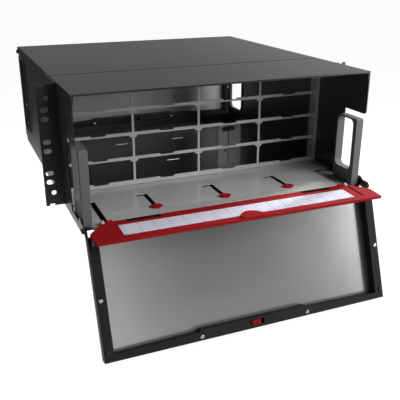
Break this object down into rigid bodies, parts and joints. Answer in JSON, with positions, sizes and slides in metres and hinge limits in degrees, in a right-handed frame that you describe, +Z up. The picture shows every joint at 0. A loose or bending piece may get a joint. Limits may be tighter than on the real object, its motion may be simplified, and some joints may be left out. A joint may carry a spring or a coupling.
{
  "type": "rack fibre enclosure",
  "caption": "Black sheet-steel rack fibre enclosure with hinged grey doors, a red fold-out label holder, an adapter grid, a cable tray and front cable rings.",
  "frame": {"origin": "middle of the rack-ear slot pattern, on the back face of the ears that meets the rack rails", "axes": "+X to the right seen from the front, +Y to the back of the enclosure, +Z up"},
  "size_m": [0.4826, 0.5695, 0.3279],
  "materials": {
    "black_steel": "satin powder coat",
    "light_grey": "gloss paint",
    "ring_grey": "fine moulded grain",
    "bracket_grey": "satin paint",
    "red_plastic": "moulded, semi-gloss",
    "door_black": "fine moulded grain",
    "panel_grey": "satin paint",
    "label_paper": "matt label",
    "bright_screw": "zinc plated",
    "black_screw": "black oxide",
    "rubber": "matt"
  },
  "bodies": {
    "chassis": {"base_shell": "black_steel", "front_top_cover": "black_steel", "rear_top_cover": "black_steel", "left_rack_ear": "black_steel", "right_rack_ear": "black_steel", "ear_screws": "black_screw", "adapter_frame": "light_grey", "frame_screws": "bright_screw", "cable_tray": "light_grey", "left_tray_clip": "red_plastic", "centre_tray_clip": "red_plastic", "right_tray_clip": "red_plastic", "left_cable_ring": "ring_grey", "right_cable_ring": "ring_grey", "left_ring_base": "light_grey", "right_ring_base": "light_grey", "anchor_bracket": "bracket_grey", "left_edge_trim": "rubber", "right_edge_trim": "rubber", "left_hinge_pin": "black_screw", "right_hinge_pin": "black_screw", "left_rear_hinge_pin": "black_screw", "right_rear_hinge_pin": "black_screw"},
    "front_door": {"front_door_frame": "door_black", "front_door_panel": "panel_grey", "front_door_screws": "bright_screw", "front_corner_screws": "black_screw", "left_hinge_insert": "bracket_grey", "right_hinge_insert": "bracket_grey"},
    "front_latch": {"front_latch": "red_plastic"},
    "label_holder": {"label_holder": "red_plastic", "label_strip": "label_paper"},
    "rear_door": {"rear_door_frame": "door_black", "rear_door_panel": "panel_grey", "rear_door_screws": "bright_screw"},
    "rear_latch": {"rear_latch": "door_black"}
  },
  "joints": [
    {"name": "front_door_hinge", "type": "hinge", "parent": "chassis", "child": "front_door", "pos_m": [0, -0.117, -0.0801], "axis": [-1, 0, 0], "range_deg": [0, 160.5]},
    {"name": "label_holder_hinge", "type": "hinge", "parent": "chassis", "child": "label_holder", "pos_m": [0, -0.102, -0.0798], "axis": [-1, 0, 0], "range_deg": [0, 92]},
    {"name": "front_latch_slide", "type": "slide", "parent": "front_door", "child": "front_latch", "axis": [1, 0, 0], "range_m": [0, 0.006]},
    {"name": "rear_door_hinge", "type": "hinge", "parent": "chassis", "child": "rear_door", "pos_m": [0, 0.378, 0.0781], "axis": [1, 0, 0], "range_deg": [0, 100]},
    {"name": "rear_latch_slide", "type": "slide", "parent": "rear_door", "child": "rear_latch", "axis": [1, 0, 0], "range_m": [0, 0.006]}
  ],
  "couplings": [
    {"joint": "label_holder_hinge", "follows": "front_door_hinge", "ratio": 0.57}
  ]
}
